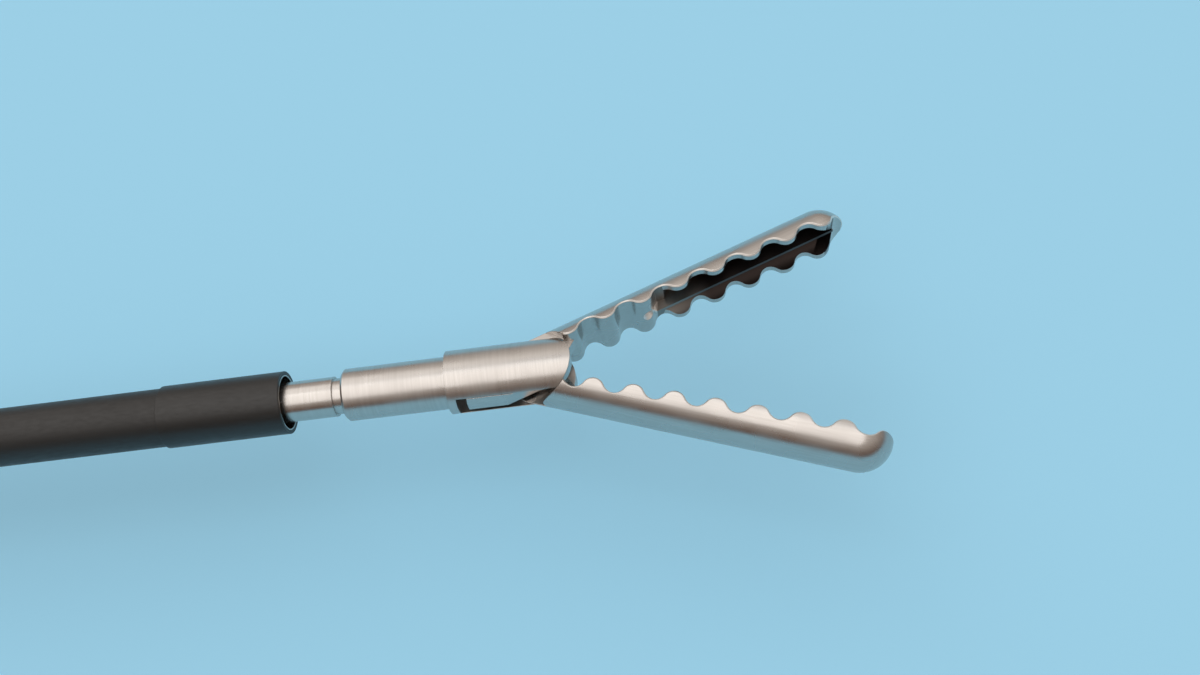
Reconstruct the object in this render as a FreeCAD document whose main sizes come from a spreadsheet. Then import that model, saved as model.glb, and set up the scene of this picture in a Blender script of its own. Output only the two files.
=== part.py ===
import FreeCAD, Part
import math
import os
import Sketcher
from types import SimpleNamespace
from FreeCAD import Placement, Rotation, Vector

# Laparoscopic grasper: a 5 mm insulated shaft with two wave-toothed jaws, and a ring handle.
# +X runs along the shaft towards the jaws, +Z along the jaw pivot, +Y to the upper jaw's side.
# The origin is on the shaft's axis, where the insulated tube leaves the rotation knob.
# The instrument lies on its side, as it would on a table, with its jaws open.

# Driving dimensions in millimetres and degrees.
sizes = {
    # Shaft
    "tubeLength": 276.0,        # insulated tube in front of the knob
    "pivotReach": 20.0,         # tube mouth to jaw pivot, with the tube pulled back
    "tubeStroke": 13.0,         # how far the tube slides forward to its seat
    "tubeRadius": 2.345,        # outside of the insulation
    "insulationWall": 0.155,
    "linerWall": 0.08,
    "sleeveRadius": 2.5,        # thicker last stretch of insulation, 5 mm across
    "sleeveLength": 9.8,
    "stemRadius": 1.59,         # inner tube that carries the jaws
    "rodRadius": 0.8,
    "slideGap": 0.1,            # between the rod and the inner tube's bore
    # Jaw housing, measured back from the jaw pivot
    "housingRadius": 2.5,
    "shoulderBack": 6.97,
    "collarBack": 15.25,
    "neckLength": 0.8,
    "neckRadius": 1.43,
    "spigotDepth": 1.5,
    "collarRadius": 2.08,
    "collarChamfer": 0.18,
    "slotHalf": 1.2,
    "slotBack": 6.3,
    "earForward": 0.4,
    "pivotPinRadius": 0.6,
    "pinGap": 0.03,
    "earSkin": 0.6,             # metal left over the pin in the near ear
    # Jaws
    "openAngle": 20.5,
    "noseCentre": 25.15,
    "heelGap": 0.15,            # jaw's heel to the ear it swings round
    "toothPitch": 3.141,
    "toothDepth": 0.84,
    "toothStart": 0.74,         # peaks fall short of the middle plane by this at the pivot
    "toothRise": 0.0407,        # and come nearer by this for each millimetre
    "upperPeak": 6.69,
    "lowerPeak": 8.31,
    "troughStart": 11.2,        # trough's rear end, at the height of its rib
    "troughSlope": 35.0,        # degrees that this end leans
    "troughNose": 24.7,         # centre of its round front end
    "jawWall": 0.62,
    "ribHalf": 0.15,            # rib along the trough's middle
    "ribLevel": 0.32,           # its top, off the middle plane
    "rimBevel": 0.12,
    "dimplePlace": 10.1,
    "dimpleRadius": 0.6,
    "plateGap": 0.05,           # jaw plate to the housing's ear
    "bladeHalf": 0.145,         # half thickness of the rod's flat end
    "bladeMiddle": 0.455,       # its middle plane, off the shaft's axis
    "bladeGap": 0.05,
    "bladeHeight": 0.55,
    "tailInset": 0.36,
    "lowerPlate": 0.5,          # thickness of the lower jaw's plate
    "bossRadius": 1.25,
    "drivePinRadius": 0.35,
    "drivePinOpen": 2.4,        # drive pin behind the pivot, jaws open
    "rodTravel": 2.2,
    # Rotation knob and spindle
    "knobRadius": 12.5,
    "knobNose": 5.6,
    "skirtRadius": 7.4,
    "linerSeat": 12.0,
    "keyBossRadius": 4.7,
    "keyBossLength": 20.0,
    "skirtReach": 2.0,          # knob's skirt behind its keyed boss
    "keyRadius": 3.0,
    "keyFlat": 2.2,
    "fluteRadius": 2.6,
    "fluteCount": 8.0,
    "journalRadius": 3.6,
    "noseRadius": 7.0,
    "noseBore": 5.0,
    "noseFront": 14.0,
    "thrustRadius": 5.5,
    # Handle body
    "bodyGap": 2.0,             # knob to the handle's front
    "bodyRear": 87.0,
    "bodyTop": 13.0,
    "bodyBottom": 16.0,
    "bodyHalf": 9.0,
    "bodyCorner": 7.0,
    "bodyWall": 4.0,
    "sideWall": 2.0,
    "bodyRound": 2.0,
    "cavityFront": 52.0,
    "gripHalf": 5.5,
    "gripRound": 2.4,
    "ringMiddle": 38.0,         # finger ring's middle, behind the origin
    "ringTop": 46.0,            # top of its hole, below the shaft's axis
    "ringHoleWidth": 23.0,
    "ringHoleHeight": 39.0,
    "ringWall": 5.5,
    # Thumb lever
    "leverPivot": 66.0,
    "driveArm": 7.003,
    "leverAngle": 18.0,
    "leverHalf": 3.0,
    "leverPinRadius": 2.0,
    "leverHub": 5.5,
    "ballRadius": 2.2,
    "forkGap": 0.12,
    "thumbBack": 96.0,
    "thumbDrop": 72.0,
    "thumbHole": 13.0,
    "thumbWall": 5.0,
    "thumbHalf": 4.5,
    "kneeBack": 13.0,           # bend of the lever's shank, from its pivot
    "kneeDrop": 18.0,
    # Ratchet
    "rackInner": 33.0,
    "rackDepth": 2.2,
    "rackTooth": 0.8,
    "rackHalf": 1.5,
    "rackPitch": 3.0,           # degrees about the lever's pivot
    "rackTip": 61.5,
    "rackRoot": 113.0,
    "pawlSwing": 9.0,           # turn that brings the pawl's tooth into the rack
    "pawlAngle": 63.0,
    "pawlPinRadius": 1.25,
    "pawlArm": 9.4,
    # Connectors on top
    "hfBack": 77.0,
    "hfRadius": 2.0,
    "hfLength": 13.0,
    "portBack": 59.0,
    "portRadius": 3.1,
    "portBore": 2.1,
    "portHeight": 11.0,
    "capOpen": 110.0,           # the port's cap, swung back on its strap
    "buttonBack": 46.5,
    "buttonRadius": 2.9,
    "buttonProud": 2.2,
    "buttonTravel": 1.5,
    "screwRadius": 1.25,
    "screwHead": 2.3,
    "runningGap": 0.05,
    "freeGap": 0.3,
}

doc = FreeCAD.newDocument("Grasper")
sheet = doc.addObject("Spreadsheet::Sheet", "Dims")
for row, (alias, value) in enumerate(sizes.items(), start=1):
    sheet.set(f"A{row}", alias)
    sheet.set(f"B{row}", str(value))
    sheet.setAlias(f"B{row}", alias)
doc.recompute()


class Size:
    """A length: its value, and its formula in the sheet's own names."""

    def __init__(self, value, formula):
        self.value = value
        self.formula = formula

    def __add__(self, other):
        other = asSize(other)
        return Size(self.value + other.value, f"({self.formula} + {other.formula})")

    def __sub__(self, other):
        other = asSize(other)
        return Size(self.value - other.value, f"({self.formula} - {other.formula})")

    def __mul__(self, other):
        other = asSize(other)
        return Size(self.value * other.value, f"({self.formula} * {other.formula})")

    def __truediv__(self, other):
        other = asSize(other)
        return Size(self.value / other.value, f"({self.formula} / {other.formula})")

    def __radd__(self, other):
        return asSize(other) + self

    def __rsub__(self, other):
        return asSize(other) - self

    def __rmul__(self, other):
        return asSize(other) * self

    def __neg__(self):
        return asSize(0.0) - self

    def __float__(self):
        return float(self.value)


def asSize(number):
    return number if isinstance(number, Size) else Size(float(number), repr(float(number)))


dim = SimpleNamespace(**{alias: Size(value, f"Dims.{alias}") for alias, value in sizes.items()})


def bind(item, prop, length):
    """Sets a property from a Size, and ties it to the sheet."""
    item.setExpression(prop, asSize(length).formula)


def move(item, x=0, y=0, z=0):
    for name, length in (("x", x), ("y", y), ("z", z)):
        setattr(item.Placement.Base, name, float(length))
        bind(item, f"Placement.Base.{name}", length)


def newBody(name):
    body = doc.addObject("PartDesign::Body", name)
    body.Label = name
    return body


def planeOf(body, role):
    return next(item for item in body.Origin.OriginFeatures if item.Role == role)


def newSketch(body, name, role, offset=0):
    """An empty sketch on one of the body's own planes, lifted along its normal."""
    sketch = body.newObject("Sketcher::SketchObject", name)
    sketch.AttachmentSupport = [(planeOf(body, role), "")]
    sketch.MapMode = "FlatFace"
    sketch.AttachmentOffset = Placement(Vector(0, 0, float(offset)), Rotation())
    bind(sketch, "AttachmentOffset.Base.z", offset)
    return sketch


def tie(sketch, kind, geometry, point, length):
    index = sketch.addConstraint(Sketcher.Constraint(kind, -1, 1, geometry, point, float(length)))
    bind(sketch, f"Constraints[{index}]", length)


def outline(body, name, role, points, offset=0):
    """A closed polygon whose corners are tied to the sheet."""
    sketch = newSketch(body, name, role, offset)
    corners = [Vector(float(x), float(y), 0) for x, y in points]
    lines = []
    for start, end in zip(corners, corners[1:] + corners[:1]):
        lines.append(sketch.addGeometry(Part.LineSegment(start, end), False))
    for before, after in zip(lines, lines[1:] + lines[:1]):
        sketch.addConstraint(Sketcher.Constraint("Coincident", before, 2, after, 1))
    for line, (x, y) in zip(lines, points):
        tie(sketch, "DistanceX", line, 1, x)
        tie(sketch, "DistanceY", line, 1, y)
    return sketch


def circles(body, name, role, rounds, offset=0):
    """Circles given as (x, y, radius)."""
    sketch = newSketch(body, name, role, offset)
    for x, y, radius in rounds:
        centre = Vector(float(x), float(y), 0)
        ring = sketch.addGeometry(Part.Circle(centre, Vector(0, 0, 1), float(radius)), False)
        tie(sketch, "DistanceX", ring, 3, x)
        tie(sketch, "DistanceY", ring, 3, y)
        index = sketch.addConstraint(Sketcher.Constraint("Radius", ring, float(radius)))
        bind(sketch, f"Constraints[{index}]", radius)
    return sketch


def feature(body, kind, name, sketch, length=None, backwards=False):
    item = body.newObject(f"PartDesign::{kind}", name)
    item.Profile = sketch
    sketch.Visibility = False
    if length is not None:
        item.Length = float(length)
        bind(item, "Length", length)
    item.Reversed = backwards
    return item


def turned(body, name, points, kind="Revolution"):
    """Turns a profile of (x, radius) points about the shaft's axis."""
    sketch = outline(body, f"{name}_profile", "XY_Plane", points)
    item = body.newObject(f"PartDesign::{kind}", f"{name}_{kind.lower()}")
    item.Profile = sketch
    item.ReferenceAxis = (sketch, ["H_Axis"])
    item.Angle = 360.0
    return item


def plate(body, name, points, low, high, kind="Pad"):
    """A flat piece, or a cut, between two heights along the jaw pivot's direction."""
    base = low if kind == "Pad" else high
    sketch = outline(body, f"{name}_outline", "XY_Plane", points, base)
    return feature(body, kind, f"{name}_{kind.lower()}", sketch, asSize(high) - low)


def discs(body, name, rounds, low, high, kind="Pad"):
    base = low if kind == "Pad" else high
    sketch = circles(body, f"{name}_circles", "XY_Plane", rounds, base)
    return feature(body, kind, f"{name}_{kind.lower()}", sketch, asSize(high) - low)


def roundEdges(body, name, base, radius, wanted, kind="Fillet"):
    """Rounds or bevels the edges of the last feature that wanted(edge) picks."""
    doc.recompute()
    names = [f"Edge{i}" for i, edge in enumerate(base.Shape.Edges, start=1) if wanted(edge)]
    item = body.newObject(f"PartDesign::{kind}", name)
    item.Base = (base, names)
    prop = "Radius" if kind == "Fillet" else "Size"
    setattr(item, prop, float(radius))
    bind(item, prop, radius)
    return item


def isUpright(edge):
    """A straight edge along the jaw pivot's direction."""
    if not isinstance(edge.Curve, Part.Line):
        return False
    return abs(abs(edge.Curve.Direction.z) - 1.0) < 1e-6


def liesAt(edge, height):
    box = edge.BoundBox
    return abs(box.ZMin - float(height)) < 1e-4 and abs(box.ZMax - float(height)) < 1e-4


def rod(name, radius, length, x=0, y=0, z=0, direction=Vector(0, 0, 1)):
    item = doc.addObject("Part::Cylinder", name)
    item.Label = name
    bind(item, "Radius", radius)
    bind(item, "Height", length)
    item.Placement = Placement(Vector(float(x), float(y), float(z)), Rotation(Vector(0, 0, 1), direction))
    move(item, x, y, z)
    return item


def block(name, low, high):
    item = doc.addObject("Part::Box", name)
    for prop, near, far in zip(("Length", "Width", "Height"), low, high):
        bind(item, prop, asSize(far) - near)
    move(item, *low)
    return item


def joined(name, *items):
    item = doc.addObject("Part::MultiFuse", name)
    item.Label = name
    item.Shapes = list(items)
    return item


def cutFrom(name, base, tool):
    item = doc.addObject("Part::Cut", name)
    item.Label = name
    item.Base = base
    item.Tool = tool
    return item


def commonOf(name, *items):
    item = doc.addObject("Part::MultiCommon", name)
    item.Label = name
    item.Shapes = list(items)
    return item


def shaped(name, shape, x=0, y=0, angle=0.0):
    """A solid made by hand, placed at a point of the handle's plane and turned there."""
    item = doc.addObject("Part::Feature", name)
    item.Label = name
    item.Shape = shape
    item.Placement = Placement(Vector(float(x), float(y), 0), Rotation(Vector(0, 0, 1), angle))
    move(item, x, y, 0)
    return item


parts = {}

# Places along the shaft
mouth = dim.tubeLength
pivot = dim.tubeLength + dim.pivotReach
shoulder = pivot - dim.shoulderBack
collarRear = pivot - dim.collarBack
neckRear = collarRear - dim.neckLength
rodBore = dim.rodRadius + dim.slideGap
linerRadius = dim.tubeRadius - dim.insulationWall
linerBore = linerRadius - dim.linerWall
knobLength = dim.linerSeat + dim.keyBossLength + dim.skirtReach
bodyFront = knobLength + dim.bodyGap
rackOuter = dim.rackInner + dim.rackDepth
along = Vector(1, 0, 0)
upwards = Vector(0, 1, 0)


def makeShaft():
    """Insulated tube, its liner and the thicker sleeve at its end."""
    liner = newBody("tube_liner")
    turned(liner, "liner", [
        (-dim.linerSeat, linerBore),
        (mouth, linerBore),
        (mouth, linerRadius),
        (-dim.linerSeat, linerRadius)])
    insulation = newBody("tube_insulation")
    turned(insulation, "insulation", [
        (0, linerRadius),
        (mouth, linerRadius),
        (mouth, dim.tubeRadius),
        (0, dim.tubeRadius)])
    sleeve = newBody("distal_sleeve")
    turned(sleeve, "sleeve", [
        (mouth - dim.sleeveLength, dim.tubeRadius),
        (mouth, dim.tubeRadius),
        (mouth, dim.sleeveRadius),
        (mouth - dim.sleeveLength, dim.sleeveRadius)])
    # The inner tube ends in a neck whose spigot sits in the jaw housing's collar.
    stem = newBody("inner_tube")
    turned(stem, "stem", [
        (hubRear + sealDepth, rodBore),
        (collarRear + dim.spigotDepth, rodBore),
        (collarRear + dim.spigotDepth, dim.neckRadius),
        (neckRear, dim.neckRadius),
        (neckRear, dim.stemRadius),
        (hubRear + sealDepth, dim.stemRadius)])
    parts.update(tube_liner=liner, tube_insulation=insulation, distal_sleeve=sleeve, inner_tube=stem)


def makeJawHousing():
    """Collar and clevis in one, with a slot for the jaws and rounded ears."""
    housing = newBody("jaw_housing")
    earEnd = pivot + dim.earForward + dim.housingRadius
    turned(housing, "housing", [
        (collarRear, 0),
        (earEnd, 0),
        (earEnd, dim.housingRadius),
        (shoulder, dim.housingRadius),
        (shoulder, dim.collarRadius),
        (collarRear + dim.collarChamfer, dim.collarRadius),
        (collarRear, dim.collarRadius - dim.collarChamfer)])
    turned(housing, "socket", [
        (collarRear, 0),
        (collarRear + dim.spigotDepth, 0),
        (collarRear + dim.spigotDepth, dim.neckRadius),
        (collarRear, dim.neckRadius)], "Groove")
    turned(housing, "bore", [
        (collarRear, 0),
        (pivot - dim.slotBack, 0),
        (pivot - dim.slotBack, rodBore),
        (collarRear, rodBore)], "Groove")
    wide = dim.housingRadius * 2
    plate(housing, "slot", [
        (pivot - dim.slotBack, -wide),
        (earEnd + 1, -wide),
        (earEnd + 1, wide),
        (pivot - dim.slotBack, wide)], -dim.slotHalf, dim.slotHalf, "Pocket")
    discs(housing, "pin_hole", [(pivot, 0, dim.pivotPinRadius)],
          -wide, dim.housingRadius - dim.earSkin, "Pocket")
    # Ears end in a half circle
    earRound = pivot + dim.earForward
    disc = rod("ear_round", dim.housingRadius, wide * 2, earRound, 0, -wide)
    shank = block("ear_shank", (collarRear - 1, -wide, -wide), (earRound, wide, wide))
    parts["jaw_housing"] = commonOf("jaw_housing_rounded", housing, joined("ear_outline", disc, shank))
    pin = rod("pivot_pin_blank", dim.pivotPinRadius, dim.housingRadius * 2 - dim.earSkin - dim.slideGap,
              pivot, 0, -dim.housingRadius)
    cover = rod("pivot_pin_face", dim.housingRadius, wide, pivot - dim.housingRadius, 0, 0, along)
    parts["jaw_pivot_pin"] = commonOf("jaw_pivot_pin", pin, cover)


def waveFace(peak, start, end):
    """Edge of the tooth face: arcs in turn out and in, nearer the middle plane at the tip."""
    half = sizes["toothPitch"] / 2

    def crest(s):
        return sizes["toothStart"] - sizes["toothRise"] * s
    # The first arc begins half way up a flank, at or before the start
    s = peak - half / 2
    outwards = True
    while s > start:
        s -= half
        outwards = not outwards
    edges = []
    points = [Vector(s, crest(s) + sizes["toothDepth"] / 2, 0)]
    while s < end:
        middle = s + half / 2
        level = crest(middle) + (0 if outwards else sizes["toothDepth"])
        s += half
        points.append(Vector(s, crest(s) + sizes["toothDepth"] / 2, 0))
        edges.append(Part.Arc(points[-2], Vector(middle, level, 0), points[-1]).toShape())
        outwards = not outwards
    return edges, points[0], points[-1]


def camPoint(d, shift):
    """A point beside the drive pin's path in a jaw, with the pin at d behind the pivot."""
    closed = sizes["drivePinOpen"] + sizes["rodTravel"]
    places = []
    for reach in (d - 0.01, d, d + 0.01):
        angle = math.radians(sizes["openAngle"] * (closed - reach) / sizes["rodTravel"])
        places.append(Vector(-reach * math.cos(angle), reach * math.sin(angle), 0))
    run = (places[2] - places[0]).normalize()
    return places[1] + Vector(-run.y, run.x, 0) * shift, run


def camSlot(low, high):
    """The slot in a jaw's tail, between two heights: two arcs a side, and round ends."""
    half = sizes["drivePinRadius"] + sizes["pinGap"]
    spare = 0.1
    near = sizes["drivePinOpen"] - spare
    far = sizes["drivePinOpen"] + sizes["rodTravel"] + spare
    stops = [near + (far - near) * i / 4 for i in range(5)]
    edges = []
    for shift in (half, -half):
        side = [camPoint(d, shift)[0] for d in stops]
        edges.append(Part.Arc(side[0], side[1], side[2]).toShape())
        edges.append(Part.Arc(side[2], side[3], side[4]).toShape())
    for d, way in ((near, -1), (far, 1)):
        middle, run = camPoint(d, 0.0)
        ends = [camPoint(d, shift)[0] for shift in (half, -half)]
        edges.append(Part.Arc(ends[0], middle + run * (half * way), ends[1]).toShape())
    face = Part.Face(Part.Wire(Part.__sortEdges__(edges)))
    face.translate(Vector(0, 0, low))
    return face.extrude(Vector(0, 0, high - low))


def slab(points, low, high):
    wire = Part.makePolygon([Vector(x, y, low) for x, y in points + points[:1]])
    return Part.Face(wire).extrude(Vector(0, 0, high - low))


def bar(radius, start, length, direction=Vector(1, 0, 0)):
    return Part.makeCylinder(radius, length, start, direction)


def makeJaw(name, peak, low, high, bossLow, side):
    """One jaw, drawn closed with its teeth down; side -1 is then turned over."""
    radius = sizes["housingRadius"]
    nose = sizes["noseCentre"]
    forward = sizes["earForward"]
    heel = radius + sizes["heelGap"]
    wall = sizes["jawWall"]
    tip = nose + radius
    wide = radius + 1
    # Half round back with a ball nose, down to the wave
    back = bar(radius, Vector(0, 0, 0), nose).fuse(Part.makeSphere(radius, Vector(nose, 0, 0)))
    back = back.removeSplitter()
    wave, first, last = waveFace(peak, heel, tip + 0.3)
    roof = [last, Vector(last.x, wide, 0), Vector(first.x, wide, 0), first]
    rim = [Part.makeLine(roof[i], roof[i + 1]) for i in range(3)]
    above = Part.Face(Part.Wire(wave + rim))
    above.translate(Vector(0, 0, -wide))
    body = back.common(above.extrude(Vector(0, 0, 2 * wide)))
    rims = []
    for edge in body.Edges:
        box = edge.BoundBox
        if box.XLength > 0.001 and box.YMax < radius * 0.9 and not isinstance(edge.Curve, Part.Line):
            rims.append(edge)
    body = body.makeChamfer(sizes["rimBevel"], rims)
    body = body.cut(Part.makeCylinder(heel, 4 * wide, Vector(forward, 0, -2 * wide)))
    # Trough: its rear end leans, and a rib runs along its middle
    inside = radius - wall
    start = sizes["troughStart"]
    level = sizes["ribLevel"]
    front = sizes["troughNose"]
    swept = Part.makeBox(front - heel, 2 * wide, 2 * inside, Vector(heel, -wide, -inside))
    swept = swept.fuse(bar(inside, Vector(front, -wide, 0), 2 * wide, upwards))
    hollow = bar(inside, Vector(heel, 0, 0), front - heel + inside).common(swept)
    behind = Part.makeBox(start, 4 * wide, 2 * wide, Vector(0, level - 2 * wide, -wide))
    behind.rotate(Vector(start, level, 0), Vector(0, 0, 1), -sizes["troughSlope"])
    seat = inside + wall * 0.15
    corner = Vector(sizes["dimplePlace"], level, -sizes["ribHalf"])
    rib = Part.makeBox(front + seat - corner.x, seat - level, 2 * sizes["ribHalf"], corner)
    body = body.cut(hollow.cut(behind)).fuse(rib)
    # Countersunk dimple at the rib's foot
    dimple = sizes["dimpleRadius"]
    crest = sizes["toothStart"] - sizes["toothRise"] * sizes["dimplePlace"]
    place = Vector(sizes["dimplePlace"], crest - dimple * 0.2, 0)
    body = body.cut(Part.makeCone(dimple * 1.2, dimple * 0.3, dimple * 1.1, place, upwards))
    # Plate that reaches back past the pivot, kept inside the housing's round
    inset = sizes["tailInset"]
    outer = radius - inset / 2
    tailEnd = sizes["slotBack"] - sizes["freeGap"]
    cheek = sizes["bossRadius"] + 0.2
    root = heel + forward + 0.8
    lead = [
        (root, sizes["toothStart"]),
        (cheek, -cheek * 0.7),
        (0, -cheek),
        (0, radius),
        (root, radius)]
    tail = [
        (0, -cheek),
        (-sizes["drivePinOpen"] - inset * 2, -cheek + 0.03),
        (-tailEnd, -inset),
        (-tailEnd * 0.9, sizes["drivePinRadius"] * 2.15),
        (-sizes["drivePinOpen"] + 0.2, radius * 0.68),
        (-0.5, outer),
        (0, radius)]
    round_ = bar(radius, Vector(-4 * wide, 0, 0), 8 * wide)
    opened = round_.copy()
    opened.rotate(Vector(0, 0, 0), Vector(0, 0, 1), -sizes["openAngle"])
    forwardPlate = slab(lead, low, high).common(round_)
    tailPlate = slab(tail, low, high).common(round_).common(opened)
    shape = body.fuse([forwardPlate, tailPlate])
    if bossLow < low:
        shape = shape.fuse(Part.makeCylinder(sizes["bossRadius"], low - bossLow, Vector(0, 0, bossLow)))
    shape = shape.cut(camSlot(low - 1, high + 1))
    hole = sizes["pivotPinRadius"] + sizes["pinGap"]
    shape = shape.cut(Part.makeCylinder(hole, 4 * wide, Vector(0, 0, -2 * wide)))
    shape = shape.removeSplitter()
    if side < 0:
        shape.rotate(Vector(0, 0, 0), Vector(1, 0, 0), 180)
    parts[name] = shaped(name, Part.Solid(shape.Solids[0]), pivot, 0, side * sizes["openAngle"])


def makeJaws():
    plateOut = sizes["slotHalf"] - sizes["plateGap"]
    bladeLow = -sizes["bladeMiddle"] - sizes["bladeHalf"]
    bladeHigh = -sizes["bladeMiddle"] + sizes["bladeHalf"]
    upperLow = bladeHigh + sizes["bladeGap"]
    lowerHigh = bladeLow - sizes["bladeGap"]
    bossTop = upperLow - sizes["bladeGap"] * 0.8
    makeJaw("upper_jaw", sizes["upperPeak"], upperLow, plateOut, upperLow, 1)
    makeJaw("lower_jaw", sizes["lowerPeak"], -lowerHigh, plateOut, -bossTop, -1)


def makeDriveRod():
    """Round rod with a flat end between the jaws' tails, and the pin that drives them."""
    pinX = pivot - dim.drivePinOpen
    roundEnd = pivot - dim.slotBack - dim.slideGap
    shank = rod("rod_shank", dim.rodRadius, roundEnd - ballX, ballX, 0, 0, along)
    low = -dim.bladeMiddle - dim.bladeHalf
    blade = block("rod_blade", (roundEnd - 1, -dim.bladeHeight, low),
                  (pinX, dim.bladeHeight, -dim.bladeMiddle + dim.bladeHalf))
    eye = rod("rod_eye", dim.bladeHeight, dim.bladeHalf * 2, pinX, 0, low)
    hole = rod("rod_eye_hole", dim.drivePinRadius, dim.slotHalf * 2, pinX, 0, -dim.slotHalf)
    parts["drive_rod"] = cutFrom("drive_rod", joined("rod_solid", shank, blade, eye), hole)
    reach = dim.slotHalf - dim.plateGap
    parts["drive_pin"] = rod("drive_pin", dim.drivePinRadius, reach * 2, pinX, 0, -reach)
    ball = newBody("rod_ball_blank")
    arc = []
    for i in range(9):
        turn = math.radians(180 - 22.5 * i)
        arc.append((ballX + dim.ballRadius * math.cos(turn), dim.ballRadius * math.sin(turn)))
    turned(ball, "ball", arc)
    tail = rod("ball_neck", ballNeck, dim.ballRadius * 2.2, ballX, 0, 0, along)
    seat = rod("ball_seat", dim.rodRadius, dim.ballRadius * 4, ballX, 0, 0, along)
    parts["rod_end_ball"] = cutFrom("rod_end_ball", joined("ball_solid", ball, tail), seat)


# Handle's own places
ballX = -dim.leverPivot
leverX = -dim.leverPivot
leverY = -dim.driveArm
keyRear = -dim.linerSeat - dim.keyBossLength
clipFront = keyRear - 1.8
clipRear = clipFront - 0.8
bushRear = -dim.cavityFront + dim.bodyWall
bushStep = clipRear - 0.4
hubRear = bushRear - 3.2
sealDepth = asSize(2.0)
sealInner = dim.rodRadius + 0.02
sealOuter = dim.stemRadius + 0.33
plungerRadius = asSize(1.2)


def makeSpindle():
    """Hub that carries the inner tube, its clip and seal, and the bush it turns in."""
    hub = newBody("spindle_hub")
    keyFront = -dim.linerSeat - dim.freeGap
    turned(hub, "hub", [
        (hubRear, dim.stemRadius),
        (keyFront, dim.stemRadius),
        (keyFront, dim.keyRadius),
        (bushStep + 0.1, dim.keyRadius),
        (bushStep + 0.1, dim.journalRadius),
        (bushRear - 0.2, dim.journalRadius),
        (bushRear - 0.2, dim.thrustRadius),
        (hubRear, dim.thrustRadius)])
    turned(hub, "clip_groove", [
        (clipRear, dim.keyRadius - 0.35),
        (clipFront, dim.keyRadius - 0.35),
        (clipFront, dim.keyRadius + 0.1),
        (clipRear, dim.keyRadius + 0.1)], "Groove")
    turned(hub, "seal_bore", [
        (hubRear, dim.stemRadius - 0.1),
        (hubRear + sealDepth, dim.stemRadius - 0.1),
        (hubRear + sealDepth, sealOuter),
        (hubRear, sealOuter)], "Groove")
    plate(hub, "key_flat", [
        (clipFront + 0.1, dim.keyFlat),
        (keyFront + 1, dim.keyFlat),
        (keyFront + 1, dim.keyRadius + 1),
        (clipFront + 0.1, dim.keyRadius + 1)], -dim.keyRadius - 1, dim.keyRadius + 1, "Pocket")
    clip = newBody("retaining_ring")
    turned(clip, "clip", [
        (clipRear, dim.keyRadius - 0.35),
        (clipFront, dim.keyRadius - 0.35),
        (clipFront, dim.keyBossRadius - 0.2),
        (clipRear, dim.keyBossRadius - 0.2)])
    gap = dim.rodRadius * 1.1
    plate(clip, "clip_gap", [
        (clipRear - 1, -gap),
        (clipFront + 1, -gap),
        (clipFront + 1, -dim.noseBore),
        (clipRear - 1, -dim.noseBore)], -gap, gap, "Pocket")
    ring = newBody("seal_ring")
    middle = hubRear + sealDepth / 2
    half = (sealOuter - sealInner) / 2
    turned(ring, "seal", [
        (middle - half, sealInner + half),
        (middle - half * 0.6, sealInner),
        (middle + half * 0.6, sealInner),
        (middle + half, sealInner + half),
        (middle + half * 0.6, sealOuter),
        (middle - half * 0.6, sealOuter)])
    bush = newBody("nose_bush")
    seat = dim.noseRadius - 1
    bore = dim.journalRadius + dim.runningGap
    turned(bush, "bush", bushProfile(bore, seat))
    plungerBore = plungerRadius + dim.pinGap * 3
    sketch = circles(bush, "plunger_circle", "XZ_Plane", [(-dim.buttonBack, 0, plungerBore)])
    feature(bush, "Pocket", "plunger_hole", sketch, dim.noseRadius + 2)
    parts.update(spindle_hub=hub, retaining_ring=clip, seal_ring=ring, nose_bush=bush)


def bushProfile(bore, seat):
    """Half section of the nose bush, with the rib that locks it in the body."""
    rib = bushRear + 4
    return [
        (bushRear, bore),
        (bushStep, bore),
        (bushStep, dim.noseBore),
        (-dim.noseFront, dim.noseBore),
        (-dim.noseFront, dim.noseRadius),
        (-bodyFront, dim.noseRadius),
        (-bodyFront, seat),
        (rib + 2, seat),
        (rib + 2, dim.noseRadius + 1),
        (rib, dim.noseRadius + 1),
        (rib, seat),
        (bushRear, seat)]




def makeKnob():
    """Fluted cup that turns the shaft: a keyed boss inside, the tube's liner in its nose."""
    knob = newBody("rotation_knob")
    rear = -knobLength
    shoulderX = -knobLength * 0.4
    turned(knob, "knob", [
        (0, linerRadius),
        (0, dim.knobNose),
        (-knobLength * 0.06, dim.knobNose + 1),
        (-knobLength * 0.22, dim.knobNose + 2.2),
        (shoulderX, dim.knobRadius),
        (rear + 1.2, dim.knobRadius),
        (rear, dim.knobRadius - 1.2),
        (rear, dim.skirtRadius),
        (-dim.linerSeat, dim.skirtRadius),
        (-dim.linerSeat, dim.keyBossRadius),
        (keyRear, dim.keyBossRadius),
        (keyRear, dim.keyRadius + dim.runningGap),
        (-dim.linerSeat, dim.keyRadius + dim.runningGap),
        (-dim.linerSeat, linerRadius)])
    # The boss's bore is round but for the flat that keys it to the hub.
    flat = dim.keyFlat + dim.runningGap
    plate(knob, "key", [
        (keyRear, flat),
        (-dim.linerSeat, flat),
        (-dim.linerSeat, dim.keyRadius + 0.5),
        (keyRear, dim.keyRadius + 0.5)], -dim.keyRadius + 0.6, dim.keyRadius - 0.6)
    groove = circles(knob, "flute_circle", "YZ_Plane",
                     [(dim.knobRadius + dim.fluteRadius * 0.45, 0, dim.fluteRadius)], rear - 1)
    flute = feature(knob, "Pocket", "flute", groove, knobLength * 0.9, True)
    ring = knob.newObject("PartDesign::PolarPattern", "flutes")
    ring.Originals = [flute]
    ring.Axis = (groove, ["N_Axis"])
    ring.Angle = 360.0
    ring.Occurrences = int(sizes["fluteCount"])
    knob.Tip = ring
    parts["rotation_knob"] = knob


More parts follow.
